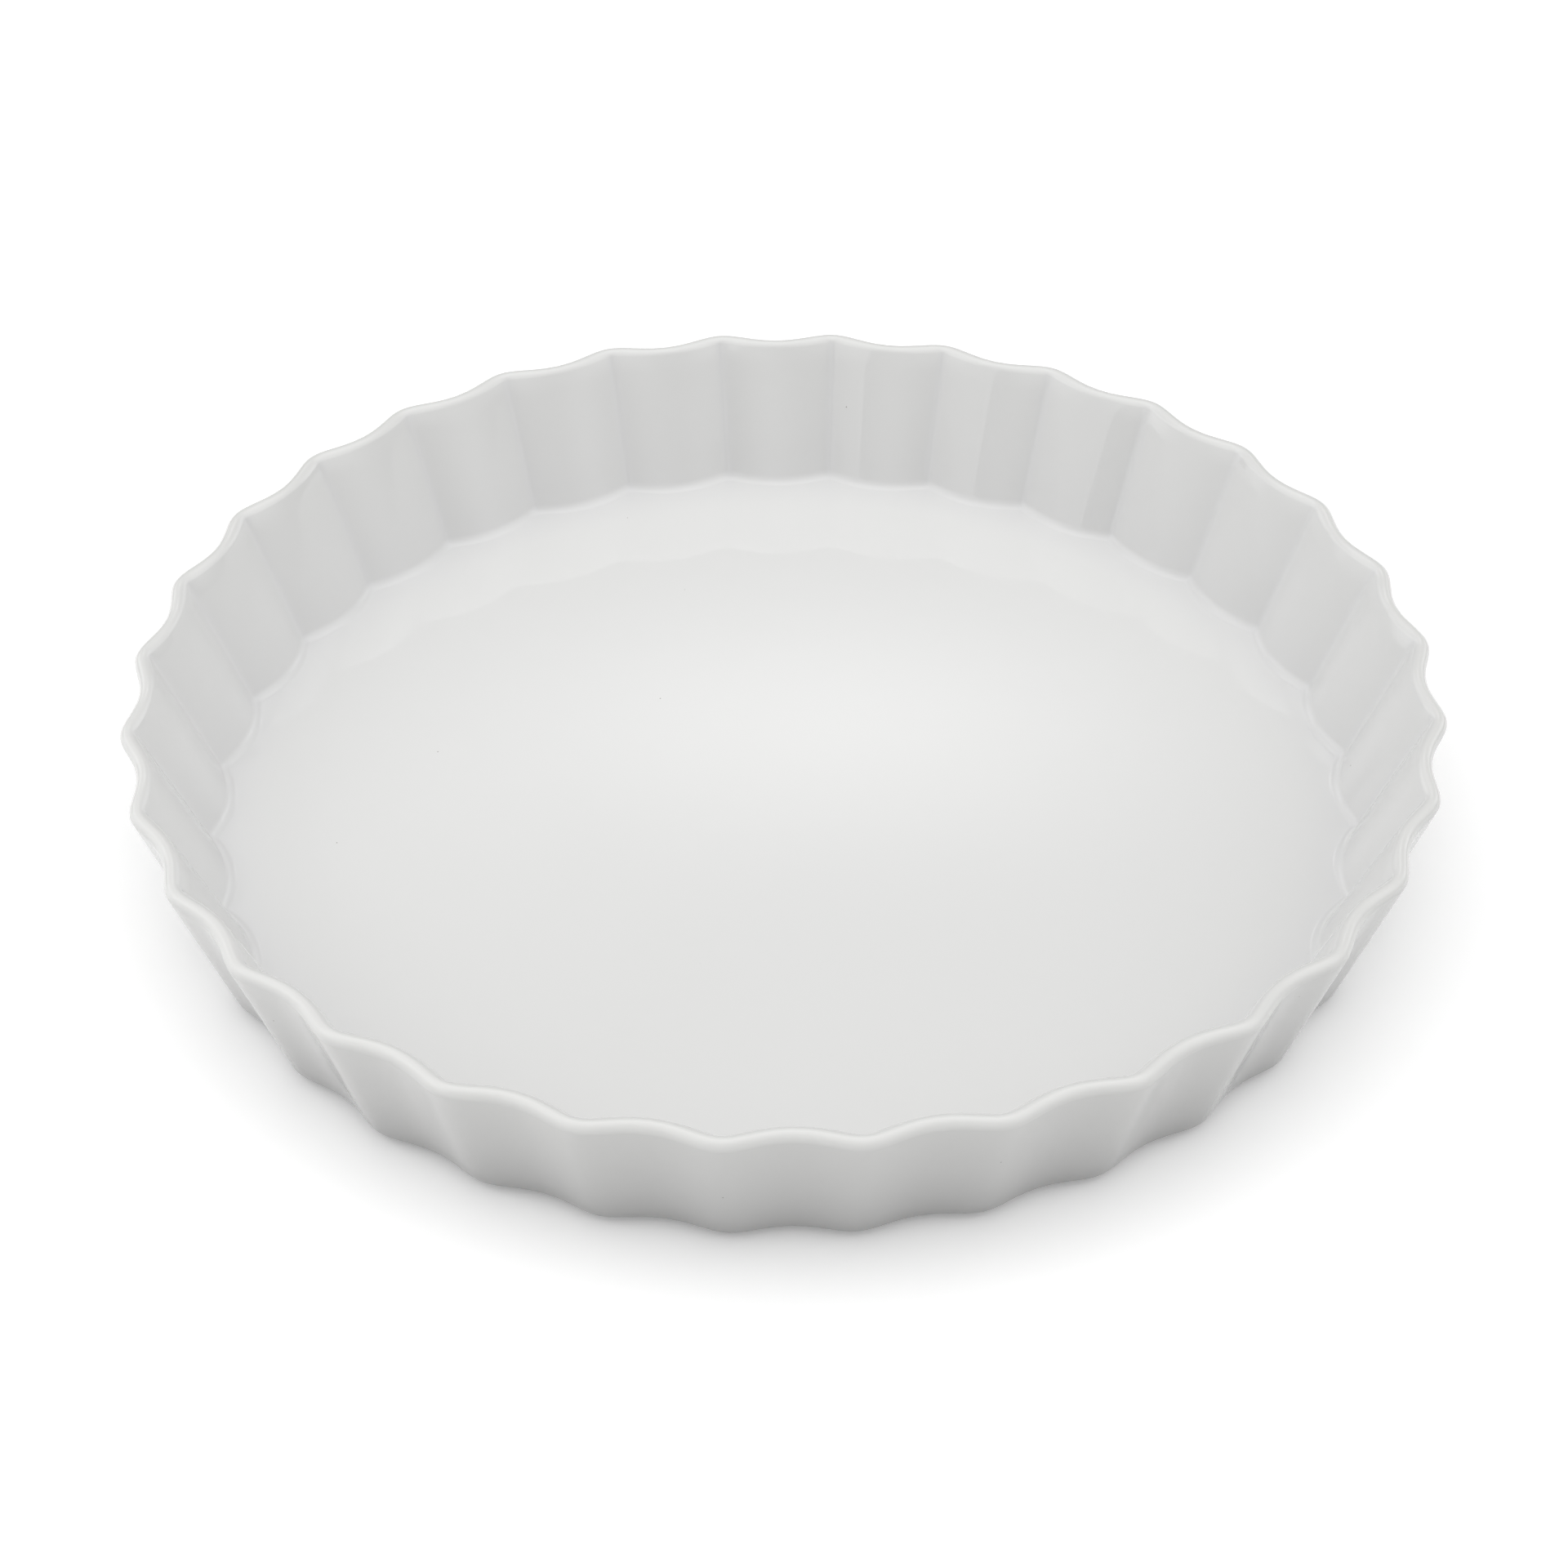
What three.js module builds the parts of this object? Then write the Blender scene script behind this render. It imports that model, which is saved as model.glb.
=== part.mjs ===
// Fluted porcelain flan dish: one pressed porcelain body under a coat of white glaze.
// The glaze stops short of the foot ring, so it is two pieces: the coat over the whole
// dish, and the disc inside the foot. Millimetres, +Z up, origin on the ground at the axis.

import * as THREE from "three";

// Overall sizes. Radii of the fluted wall are to the tips of its ridges.
const HEIGHT = 40; // ground to the top of the rim
const RIM_RADIUS = 150; // widest point, at the rim
const WALL_FLARE = 12.5; // how far the outer wall leans out from its lower edge to the rim
const WALL_FOOT = 7; // from the outer wall's lower edge in to the flat of the floor
const FLOOR_THICKNESS = 5.4; // inside the foot ring, glaze on both faces included

// Flutes: how deep they are from ridge tip to hollow, and over what half width a tip is rounded
const FLUTES = 32;
const RIM_FLUTE_DEPTH = 3.2;
const BASE_FLUTE_DEPTH = 2.4;
const INNER_FLUTE_DEPTH = 3.2;
const RIDGE_SOFTNESS = 6; // ridges of the outer wall
const GROOVE_SOFTNESS = 1.2; // grooves of the inner wall

// Edges
const RIM_ROUND = 1.85; // the rim is a full round, twice this thick
const BASE_EDGE_ROUND = 1.5; // lower edge of the outer wall
const FLOOR_FILLET = 3; // between floor and inner wall

// Foot ring and underside
const FOOT_WIDTH = 6; // flat ring that the dish stands on
const FOOT_FLANK = 2.5; // width of the slope on each side of the ring
const FOOT_INSET = 4; // from the hollows of the lower edge in to the ring's outer slope
const BASE_LIFT = 1.8; // ground to the underside outside the ring
const RECESS_LIFT = 1.4; // ground to the underside inside the ring

// Glaze
const GLAZE = 0.3; // thickness of the fired coat
const GLAZE_CLEARANCE = 0.01; // between glaze and clay, so that neither solid cuts the other
const BARE_FLANK = 0.4; // share of each foot slope that is wiped clean of glaze

// Facets
const STEPS_PER_FLUTE = 4;
const RIM_STEPS = 2; // from the rim's widest point to its top, and from there to the inner wall
const RIM_UNDER_STEPS = 1; // from the outer wall to the rim's widest point
const FILLET_STEPS = 2;
const BASE_EDGE_STEPS = 1;

// Finishes
const PORCELAIN = { color: 0xe6e2da, roughness: 0.75, metalness: 0 };
const WHITE_GLAZE = { color: 0xf0efec, roughness: 0.08, metalness: 0 };

// What follows from these sizes
const BASE_RADIUS = RIM_RADIUS - WALL_FLARE;
const FLOOR_RADIUS = BASE_RADIUS - WALL_FOOT;
const FLOOR_TOP = RECESS_LIFT + FLOOR_THICKNESS;
const FOOT_OUTER_RADIUS = BASE_RADIUS - BASE_FLUTE_DEPTH - BASE_EDGE_ROUND - FOOT_INSET - FOOT_FLANK;
const FOOT_INNER_RADIUS = FOOT_OUTER_RADIUS - FOOT_WIDTH;

const UP = new THREE.Vector2(0, 1);
const DOWN = new THREE.Vector2(0, -1);

const BASE_FLUTES = { depth: BASE_FLUTE_DEPTH, softness: RIDGE_SOFTNESS };
const RIM_FLUTES = { depth: RIM_FLUTE_DEPTH, softness: RIDGE_SOFTNESS };
const INNER_FLUTES = { depth: INNER_FLUTE_DEPTH, softness: GROOVE_SOFTNESS };
const ROUND = { depth: 0, softness: RIDGE_SOFTNESS };

// A point of the outline in the plane of radius and height, with its outward normal
// and the flutes that are pressed into the surface there.
function outlinePoint(position, normal, flutes = ROUND) {
  return { position, normal: normal.clone().normalize(), flutes };
}

// Points of a round stretch, whose flutes change evenly from one end to the other.
// A negative radius makes it hollow, with its centre outside the clay.
function roundStretch(centre, radius, startAngle, endAngle, steps, startFlutes, endFlutes = startFlutes) {
  return Array.from({ length: steps + 1 }, (_, i) => {
    const angle = THREE.MathUtils.lerp(startAngle, endAngle, i / steps);
    const normal = new THREE.Vector2(Math.cos(angle), Math.sin(angle));
    const flutes = {
      depth: THREE.MathUtils.lerp(startFlutes.depth, endFlutes.depth, i / steps),
      softness: THREE.MathUtils.lerp(startFlutes.softness, endFlutes.softness, i / steps),
    };
    return outlinePoint(normal.clone().multiplyScalar(radius).add(centre), normal, flutes);
  });
}

// Angle of the normal that two round stretches share where one straight wall touches both.
function sharedNormalAngle(from, fromRadius, to, toRadius) {
  const span = to.clone().sub(from);
  return span.angle() - Math.acos((fromRadius - toRadius) / span.length());
}

// The same outline at a depth below its surface.
function atDepth(depth, outline) {
  return outline.map(({ position, normal, flutes }) =>
    outlinePoint(position.clone().addScaledVector(normal, -depth), normal, flutes),
  );
}

// One side of the foot ring, from where the glaze stops to where the slope meets the underside.
// The side is +1 for the outside of the ring and -1 for the inside.
function footFlank(ringRadius, side, lift) {
  const foot = new THREE.Vector2(ringRadius, 0);
  const top = new THREE.Vector2(ringRadius + side * FOOT_FLANK, lift);
  const slopeNormal = new THREE.Vector2(side * lift, -FOOT_FLANK).normalize();
  const glazeLine = foot.clone().lerp(top, BARE_FLANK).addScaledVector(slopeNormal, GLAZE);
  return [outlinePoint(glazeLine, slopeNormal), outlinePoint(top, DOWN)];
}

// The glazed outline from the foot ring, up the outer wall, over the rim and down to the floor's centre.
function dishOutline() {
  const baseCentre = new THREE.Vector2(BASE_RADIUS - BASE_EDGE_ROUND, BASE_LIFT + BASE_EDGE_ROUND);
  const rimCentre = new THREE.Vector2(RIM_RADIUS - RIM_ROUND, HEIGHT - RIM_ROUND);
  const filletCentre = new THREE.Vector2(FLOOR_RADIUS, FLOOR_TOP + FLOOR_FILLET);
  const outerWall = sharedNormalAngle(baseCentre, BASE_EDGE_ROUND, rimCentre, RIM_ROUND);
  const innerWall = sharedNormalAngle(rimCentre, RIM_ROUND, filletCentre, -FLOOR_FILLET);
  const [down, out, up] = [-Math.PI / 2, 0, Math.PI / 2];
  return [
    ...footFlank(FOOT_OUTER_RADIUS, 1, BASE_LIFT),
    ...roundStretch(baseCentre, BASE_EDGE_ROUND, down, outerWall, BASE_EDGE_STEPS, BASE_FLUTES),
    ...roundStretch(rimCentre, RIM_ROUND, outerWall, out, RIM_UNDER_STEPS, RIM_FLUTES),
    ...roundStretch(rimCentre, RIM_ROUND, out, up, RIM_STEPS, RIM_FLUTES).slice(1),
    ...roundStretch(rimCentre, RIM_ROUND, up, innerWall, RIM_STEPS, RIM_FLUTES, INNER_FLUTES).slice(1),
    ...roundStretch(filletCentre, -FLOOR_FILLET, innerWall, up, FILLET_STEPS, INNER_FLUTES),
    outlinePoint(new THREE.Vector2(0, FLOOR_TOP), UP),
  ];
}

// The glazed outline of the underside, from its centre to the glaze line inside the foot ring.
function recessOutline() {
  return [
    outlinePoint(new THREE.Vector2(0, RECESS_LIFT), DOWN),
    ...footFlank(FOOT_INNER_RADIUS, -1, RECESS_LIFT).reverse(),
  ];
}

// The flat face of the foot ring, which carries no glaze.
function footOutline() {
  return [FOOT_INNER_RADIUS, FOOT_OUTER_RADIUS].map((radius) =>
    outlinePoint(new THREE.Vector2(radius, 0), DOWN),
  );
}

// How far the surface lies inside its ridge tips at a turn angle: a hollow arc from ridge to ridge,
// drawn in terms of the share of the way from a ridge tip to the middle of the hollow.
function fluteDrop(turn, { depth, softness }) {
  const halfPitch = Math.PI / FLUTES;
  const nearestRidge = 2 * halfPitch * Math.round(turn / (2 * halfPitch));
  const softShare = softness / (halfPitch * RIM_RADIUS);
  const rounded = (share) => Math.hypot(share, softShare) - softShare;
  const share = rounded(Math.abs(turn - nearestRidge) / halfPitch) / rounded(1);
  return depth * share * (2 - share);
}

// Turns an outline about the dish's axis and presses its flutes in.
function turnedAndFluted(outline) {
  const segments = FLUTES * STEPS_PER_FLUTE;
  const geometry = new THREE.LatheGeometry(outline.map(({ position }) => position), segments);
  geometry.rotateX(Math.PI / 2);
  const vertices = geometry.getAttribute("position");
  for (let i = 0; i < vertices.count; i++) {
    const { position, flutes } = outline[i % outline.length];
    if (flutes.depth === 0) continue;
    const turn = (Math.floor(i / outline.length) * 2 * Math.PI) / segments;
    const scale = 1 - fluteDrop(turn, flutes) / position.x;
    vertices.setXY(i, vertices.getX(i) * scale, vertices.getY(i) * scale);
  }
  return geometry;
}

// Swaps the two sides of every facet.
function insideOut(geometry) {
  geometry.index.array.reverse();
  return geometry;
}

function piece(name, geometry, finish) {
  const mesh = new THREE.Mesh(geometry, new THREE.MeshStandardMaterial(finish));
  mesh.name = name;
  return mesh;
}

const dish = dishOutline();
const recess = recessOutline();

// The clay runs under both glazes and comes to the surface at the foot ring.
const clayDepth = GLAZE + GLAZE_CLEARANCE;
const bodyShape = turnedAndFluted([
  ...atDepth(clayDepth, recess),
  ...footOutline(),
  ...atDepth(clayDepth, dish),
]);

// Each glaze follows the clay the same way round as the body does, so that their facets match,
// and has its own face on the way there or back. It is inside out until its facets are swapped.
const coatShape = insideOut(turnedAndFluted([...dish.toReversed(), ...atDepth(GLAZE, dish)]));
const baseGlazeShape = insideOut(turnedAndFluted([...atDepth(GLAZE, recess), ...recess.toReversed()]));

const flanDish = new THREE.Group();
flanDish.add(
  piece("porcelain_body", bodyShape, PORCELAIN),
  piece("glaze_coat", coatShape, WHITE_GLAZE),
  piece("base_glaze", baseGlazeShape, WHITE_GLAZE),
);

export default flanDish;
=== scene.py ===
"""Looks of a fluted porcelain flan dish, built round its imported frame.

The dish is one pressed porcelain body under white glaze. The glaze stops short of the foot ring that
the dish stands on, so it is two pieces: a coat over the whole dish, and a disc inside the foot ring.

Each piece is a surface of two parameters. The first runs along an outline in the plane of radius and
height, from the piece's axis on top to its axis below. The second turns about that axis, and on the
way the outline is pressed inwards between the ridges of the flutes.

Sizes are in millimetres until a mesh is made. Meshes are in metres, as the frame is, with +Z up and
the origin on the ground under the dish's centre.
"""

import logging
import math
from dataclasses import dataclass
from enum import Enum
from typing import Any

import bpy
import numpy as np
from mathutils import Matrix, Vector

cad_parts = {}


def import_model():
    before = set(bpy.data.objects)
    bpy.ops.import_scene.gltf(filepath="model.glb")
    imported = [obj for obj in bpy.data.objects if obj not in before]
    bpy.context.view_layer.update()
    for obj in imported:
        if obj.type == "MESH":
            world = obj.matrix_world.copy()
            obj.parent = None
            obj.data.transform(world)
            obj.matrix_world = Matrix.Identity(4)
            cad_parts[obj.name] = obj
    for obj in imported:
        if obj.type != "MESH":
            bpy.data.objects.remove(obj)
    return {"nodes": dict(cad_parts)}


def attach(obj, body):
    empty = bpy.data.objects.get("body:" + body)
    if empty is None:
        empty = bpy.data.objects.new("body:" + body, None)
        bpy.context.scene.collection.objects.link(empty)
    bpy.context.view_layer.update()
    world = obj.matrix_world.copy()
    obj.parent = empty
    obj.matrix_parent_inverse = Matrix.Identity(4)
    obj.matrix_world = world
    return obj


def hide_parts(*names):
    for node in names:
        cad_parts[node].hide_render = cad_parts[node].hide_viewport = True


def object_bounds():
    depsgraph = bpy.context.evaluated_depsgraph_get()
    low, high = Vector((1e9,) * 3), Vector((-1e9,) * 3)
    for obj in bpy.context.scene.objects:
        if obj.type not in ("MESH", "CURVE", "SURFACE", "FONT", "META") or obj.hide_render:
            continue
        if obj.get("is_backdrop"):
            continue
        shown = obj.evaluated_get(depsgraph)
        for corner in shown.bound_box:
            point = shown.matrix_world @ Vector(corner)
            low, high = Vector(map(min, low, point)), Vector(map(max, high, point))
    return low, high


LOG = logging.getLogger("flan_dish")
MM = 0.001  # a millimetre in metres
WHITE = "#ffffff"
# painted shade: the thin end of this attribute, over the rim, also darkens the glaze there
POOL_AND_PAINTED_SHADE = "glaze_pool_and_painted_shade"  # attribute: from -1 where the glaze ran thin to 1 where it gathered
SHARP_CORNER = 50.0  # degrees between two faces that meet in a real corner

# angles of a normal in the plane of radius and height
UP = math.pi / 2
OUT = 0.0
DOWN = -math.pi / 2

Array = np.ndarray
Pair = tuple[float, float]
Point = Pair | Array
Tree = bpy.types.NodeTree
Socket = bpy.types.NodeSocket


class Slot(Enum):
    """The record's material slots."""

    GLAZE = "white_glaze"
    CLAY = "bare_porcelain"


class Side(Enum):
    """The two slopes of the foot ring, with the direction in which each faces."""

    OUTER = 1.0
    INNER = -1.0


class Node(Enum):
    """The frame's CAD nodes."""

    BODY = "porcelain_body"
    COAT = "glaze_coat"
    BASE_GLAZE = "base_glaze"


def linear(colour: str) -> tuple[float, float, float, float]:
    """Turns an sRGB hex colour into linear light, by the curve of the sRGB standard.

    Args:
        colour: six hex digits after a #.

    Returns:
        Linear red, green and blue from 0 to 1, and an alpha of 1.
    """
    srgb = np.array([int(colour[i : i + 2], 16) / 255 for i in (1, 3, 5)])
    light = np.where(srgb <= 0.04045, srgb / 12.92, ((srgb + 0.055) / 1.055) ** 2.4)
    return (*light.tolist(), 1.0)


def add_node(
    tree: Tree, kind: str, inputs: dict[str | int, Any] | None = None, **settings: Any
) -> bpy.types.Node:
    """Adds one node to a node tree.

    Args:
        tree: the tree it goes into.
        kind: Blender's name for the kind of node.
        inputs: for each input socket, by name or number, a constant or the output that feeds it.
        **settings: the node's own properties.

    Returns:
        The new node.
    """
    node = tree.nodes.new(kind)
    for name, value in settings.items():
        setattr(node, name, value)
    for key, value in (inputs or {}).items():
        if isinstance(value, Socket):
            tree.links.new(value, node.inputs[key])
        else:
            node.inputs[key].default_value = value
    return node


def direction(azimuth: float, elevation: float) -> Vector:
    """Unit vector towards a place round the dish.

    Args:
        azimuth: degrees, 0 on the camera's side (-Y) and 90 on the right (+X).
        elevation: degrees above the horizon.

    Returns:
        (sin a cos e, -cos a cos e, sin e).
    """
    a, e = math.radians(azimuth), math.radians(elevation)
    return Vector((math.sin(a) * math.cos(e), -math.cos(a) * math.cos(e), math.sin(e)))


@dataclass(frozen=True)
class Flutes:
    """How one stretch of the wall is pressed, in millimetres.

    depth: from ridge tip to hollow.
    softness: half width over which a ridge is rounded.
    """

    depth: float
    softness: float

    def faded(self) -> "Flutes":
        """The same flutes where they have run out to nothing."""
        return Flutes(0.0, self.softness)


@dataclass(frozen=True)
class Outline:
    """A run of points in the plane of radius and height, one row for each.

    points: radius and height.
    normals: outward unit normal.
    flutes: depth and softness of the flutes pressed there.
    pool: how far the glaze has gathered there, and how much more it has at the ridges.
    """

    points: Array
    normals: Array
    flutes: Array
    pool: Array

    @staticmethod
    def joined(*runs: "Outline") -> "Outline":
        """One outline that follows several, one after the other."""
        names = ("points", "normals", "flutes", "pool")
        return Outline(*(np.concatenate([getattr(run, name) for run in runs]) for name in names))

    def reversed(self) -> "Outline":
        """The same outline from its other end."""
        return Outline(self.points[::-1], self.normals[::-1], self.flutes[::-1], self.pool[::-1])

    def at_depth(self, depth: float) -> "Outline":
        """The same outline below its surface: each point moved in along its normal."""
        return Outline(self.points - depth * self.normals, self.normals, self.flutes, self.pool)

    def after_start(self) -> "Outline":
        """The outline without its first point, to follow one that ends there."""
        return Outline(self.points[1:], self.normals[1:], self.flutes[1:], self.pool[1:])


@dataclass(frozen=True)
class Press:
    """What a stretch of outline has at one of its ends: its flutes and its glaze.

    pool: how far the glaze has gathered, from -1 for thin to 1 for pooled.
    ridge_pool: what the ridges have on top of that.
    """

    flutes: Flutes
    pool: float = 0.0
    ridge_pool: float = 0.0

    def rows(self, other: "Press", share: Array) -> tuple[Array, Array]:
        """Even change from this end to another.

        Args:
            other: what the far end has.
            share: how far along each point is, from 0 to 1.

        Returns:
            Flute depth and softness of each point, and its two pool values.
        """
        mine = np.array([self.flutes.depth, self.flutes.softness, self.pool, self.ridge_pool])
        far = np.array([other.flutes.depth, other.flutes.softness, other.pool, other.ridge_pool])
        mixed = mine + share[:, None] * (far - mine)
        return mixed[:, :2], mixed[:, 2:]


Ends = tuple[Press, Press]


def arc(centre: Point, radius: float, angles: Pair, steps: int, ends: Ends) -> Outline:
    """A round stretch: centre + radius (cos a, sin a) as the angle a goes evenly from end to end.

    Args:
        centre: radius and height of the arc's centre.
        radius: the arc's radius; a negative one makes a hollow, with its centre outside the clay.
        angles: first and last angle of the outward normal, in radians.
        steps: how many steps it takes.
        ends: what its two ends have.

    Returns:
        The outline, both ends included.
    """
    share = np.linspace(0.0, 1.0, steps + 1)
    angle = angles[0] + share * (angles[1] - angles[0])
    normals = np.stack([np.cos(angle), np.sin(angle)], axis=1)
    return Outline(np.array(centre) + radius * normals, normals, *ends[0].rows(ends[1], share))


def straight(start: Point, end: Point, normal: float, steps: int, ends: Ends) -> Outline:
    """A straight stretch in even steps.

    Args:
        start: radius and height of its first point.
        end: radius and height of its last point.
        normal: angle of its outward normal, in radians.
        steps: how many steps it takes.
        ends: what its two ends have.

    Returns:
        The outline, both ends included.
    """
    share = np.linspace(0.0, 1.0, steps + 1)
    points = np.array(start) + share[:, None] * (np.array(end) - np.array(start))
    normals = np.tile([math.cos(normal), math.sin(normal)], (steps + 1, 1))
    return Outline(points, normals, *ends[0].rows(ends[1], share))


def wall_normal(start: Point, start_radius: float, end: Point, end_radius: float) -> float:
    """Normal of the straight wall that touches two arcs.

    The wall leans from the line of centres by the angle whose cosine is the difference of the radii
    over the distance, so the normal is the line's own angle less that one.

    Args:
        start: centre of the first arc.
        start_radius: its radius.
        end: centre of the second arc.
        end_radius: its radius.

    Returns:
        The angle of the normal, in radians.
    """
    span = np.array(end) - np.array(start)
    lean = math.acos((start_radius - end_radius) / float(np.hypot(*span)))
    return math.atan2(span[1], span[0]) % (2 * math.pi) - lean


@dataclass(frozen=True)
class Pooling:
    """How far the glaze has gathered along the outline, from -1 for thin to 1 for pooled.

    Each pair is the value all round the dish, and what the ridges have on top of it. Seen from
    inside, the ridges of the wall are the grooves between its panels.
    """

    floor_edge: Pair = (0.7, 0.3)
    wall_foot: Pair = (0.5, 0.5)
    wall_head: Pair = (0.0, 0.6)
    # the thin values over the rim also paint shade there, through the glaze's thin colour
    rim_top: Pair = (-0.8, 0.0)
    rim_side: Pair = (-0.6, 0.0)
    base_foot: Pair = (0.2, 0.0)
    foot_slope: Pair = (0.4, 0.0)
    glaze_line: Pair = (0.8, 0.0)
    ridge_width: float = 0.12  # half width of what the ridges have, in half flutes


@dataclass(frozen=True)
class Steps:
    """How finely each stretch of the dish is divided.

    half_flute: steps round the dish from a ridge to the middle of a hollow.
    at_ridge: size of those steps at the ridge, as a share of even ones.
    """

    half_flute: int = 10
    at_ridge: float = 0.3
    floor: int = 8
    eased_floor: int = 4
    fillet: int = 10
    inner_wall: int = 8
    rim_quarter: int = 8
    rim_under: int = 3
    outer_wall: int = 7
    base_edge: int = 7
    underside: int = 3
    foot_flank: int = 4
    foot_edge: int = 4
    glaze_lip: int = 6
    recess: int = 6


@dataclass(frozen=True)
class DishShape:
    """Sizes of the dish in millimetres, and the outlines that follow from them.

    Radii of the fluted wall are to the tips of its ridges. The outlines are the fired surface; the
    clay lies below it by the glaze's thickness and a clearance.
    """

    height: float
    rim_radius: float
    wall_flare: float = 12.5  # how far the outer wall leans out
    wall_foot: float = 7.0  # from the outer wall's lower edge in to the flat of the floor
    floor_thickness: float = 5.4
    flutes: int = 32
    rim_flutes: Flutes = Flutes(3.2, 6.0)
    base_flutes: Flutes = Flutes(2.4, 6.0)
    inner_flutes: Flutes = Flutes(3.2, 1.2)
    rim_round: float = 1.85
    base_edge_round: float = 1.5
    floor_fillet: float = 3.0
    floor_ease: float = 12.0  # width over which the floor takes up the flutes of the wall
    foot_width: float = 6.0
    foot_flank: float = 2.5  # width of the slope on each side of the foot ring
    foot_inset: float = 4.0  # from the hollows of the lower edge in to the ring's outer slope
    foot_edge_round: float = 0.4
    base_lift: float = 1.8  # ground to the underside outside the foot ring
    recess_lift: float = 1.4  # ground to the underside inside it
    glaze: float = 0.3
    glaze_clearance: float = 0.01  # between the glaze and the clay
    bare_flank: float = 0.4  # share of each foot slope that is wiped clean of glaze
    pooling: Pooling = Pooling()
    steps: Steps = Steps()

    @property
    def base_radius(self) -> float:
        """Radius of the outer wall at its lower edge."""
        return self.rim_radius - self.wall_flare

    @property
    def floor_radius(self) -> float:
        """Radius of the flat of the floor at the ridges."""
        return self.base_radius - self.wall_foot

    @property
    def floor_flat(self) -> float:
        """Radius within which the floor is plain, with no trace of the flutes round it."""
        return self.floor_radius - self.floor_ease

    @property
    def floor_top(self) -> float:
        """Height of the floor inside the dish."""
        return self.recess_lift + self.floor_thickness

    @property
    def foot_outer_radius(self) -> float:
        """Outer radius of the flat of the foot ring."""
        hollow = self.base_radius - self.base_flutes.depth - self.base_edge_round
        return hollow - self.foot_inset - self.foot_flank

    @property
    def foot_inner_radius(self) -> float:
        """Inner radius of the flat of the foot ring."""
        return self.foot_outer_radius - self.foot_width

    def dish_outline(self) -> Outline:
        """The coat's fired surface, from the floor's centre over the rim and down to the glaze line.

        Floor, hollow fillet, inner wall, round rim, outer wall, round lower edge, underside and the
        outer slope of the foot ring, each joined to the next without a step.

        Returns:
            The outline.
        """
        fillet = (self.floor_radius, self.floor_top + self.floor_fillet)
        rim = (self.rim_radius - self.rim_round, self.height - self.rim_round)
        base = (self.base_radius - self.base_edge_round, self.base_lift + self.base_edge_round)
        inside = wall_normal(rim, self.rim_round, fillet, -self.floor_fillet)
        outside = wall_normal(base, self.base_edge_round, rim, self.rim_round)

        pooling, steps = self.pooling, self.steps
        plain = Press(self.inner_flutes.faded())
        floor_edge = Press(self.inner_flutes, *pooling.floor_edge)
        wall_foot = Press(self.inner_flutes, *pooling.wall_foot)
        wall_head = Press(self.inner_flutes, *pooling.wall_head)
        rim_top = Press(self.rim_flutes, *pooling.rim_top)
        rim_side = Press(self.rim_flutes, *pooling.rim_side)
        base_head = Press(self.base_flutes)
        base_foot = Press(self.base_flutes, *pooling.base_foot)
        foot_slope = Press(self.base_flutes.faded(), *pooling.foot_slope)

        hollow = arc(fillet, -self.floor_fillet, (UP, inside), steps.fillet, (floor_edge, wall_foot))
        rim_inside = arc(rim, self.rim_round, (inside, UP), steps.rim_quarter, (wall_head, rim_top))
        rim_outside = arc(rim, self.rim_round, (UP, OUT), steps.rim_quarter, (rim_top, rim_side))
        rim_under = arc(rim, self.rim_round, (OUT, outside), steps.rim_under, (rim_side, rim_side))
        edge_ends = (base_head, base_foot)
        lower_edge = arc(base, self.base_edge_round, (outside, DOWN), steps.base_edge, edge_ends)
        flank = self.foot_flank_outline(Side.OUTER)

        centre = (0.0, self.floor_top)
        flat = (self.floor_flat, self.floor_top)
        floor = straight(centre, flat, UP, steps.floor, (plain, plain))
        eased_floor = straight(flat, hollow.points[0], UP, steps.eased_floor, (plain, floor_edge))
        inner_wall = straight(
            hollow.points[-1], rim_inside.points[0], inside, steps.inner_wall, (wall_foot, wall_head)
        )
        outer_wall = straight(
            rim_under.points[-1], lower_edge.points[0], outside, steps.outer_wall, (rim_side, base_head)
        )
        underside = straight(
            lower_edge.points[-1], flank.points[0], DOWN, steps.underside, (base_foot, foot_slope)
        )
        runs = (eased_floor, hollow, inner_wall, rim_inside, rim_outside, rim_under)
        runs += (outer_wall, lower_edge, underside, flank)
        return Outline.joined(floor, *(run.after_start() for run in runs))

    def recess_outline(self) -> Outline:
        """The disc's fired surface, from the underside's centre to the glaze line inside the foot ring.

        Returns:
            The outline.
        """
        plain = Press(self.base_flutes.faded())
        flank = self.foot_flank_outline(Side.INNER)
        centre = (0.0, self.recess_lift)
        recess = straight(centre, flank.points[0], DOWN, self.steps.recess, (plain, plain))
        return Outline.joined(recess, flank.after_start())

    def foot_slope(self, side: Side) -> tuple[Array, Array, float]:
        """One slope of the foot ring.

        Args:
            side: which side of the ring.

        Returns:
            Its lower end at the ring, its upper end at the underside, and the angle of its normal.
        """
        ring, lift = (
            (self.foot_outer_radius, self.base_lift)
            if side is Side.OUTER
            else (self.foot_inner_radius, self.recess_lift)
        )
        top = np.array([ring + side.value * self.foot_flank, lift])
        return np.array([ring, 0.0]), top, math.atan2(-self.foot_flank, side.value * lift)

    def foot_flank_outline(self, side: Side) -> Outline:
        """The glazed part of one slope of the foot ring, from the underside down to the glaze line.

        Args:
            side: which side of the ring.

        Returns:
            The outline.
        """
        foot, top, slope = self.foot_slope(side)
        outwards = np.array([math.cos(slope), math.sin(slope)])
        line = foot + self.bare_flank * (top - foot) + self.glaze * outwards
        head = Press(self.base_flutes.faded(), *self.pooling.foot_slope)
        bead = Press(self.base_flutes.faded(), *self.pooling.glaze_line)
        run = straight(top, line, slope, self.steps.foot_flank, (head, bead))
        # the first point belongs to the underside as well, which faces straight down
        run.normals[0] = (0.0, -1.0)
        return run

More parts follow.
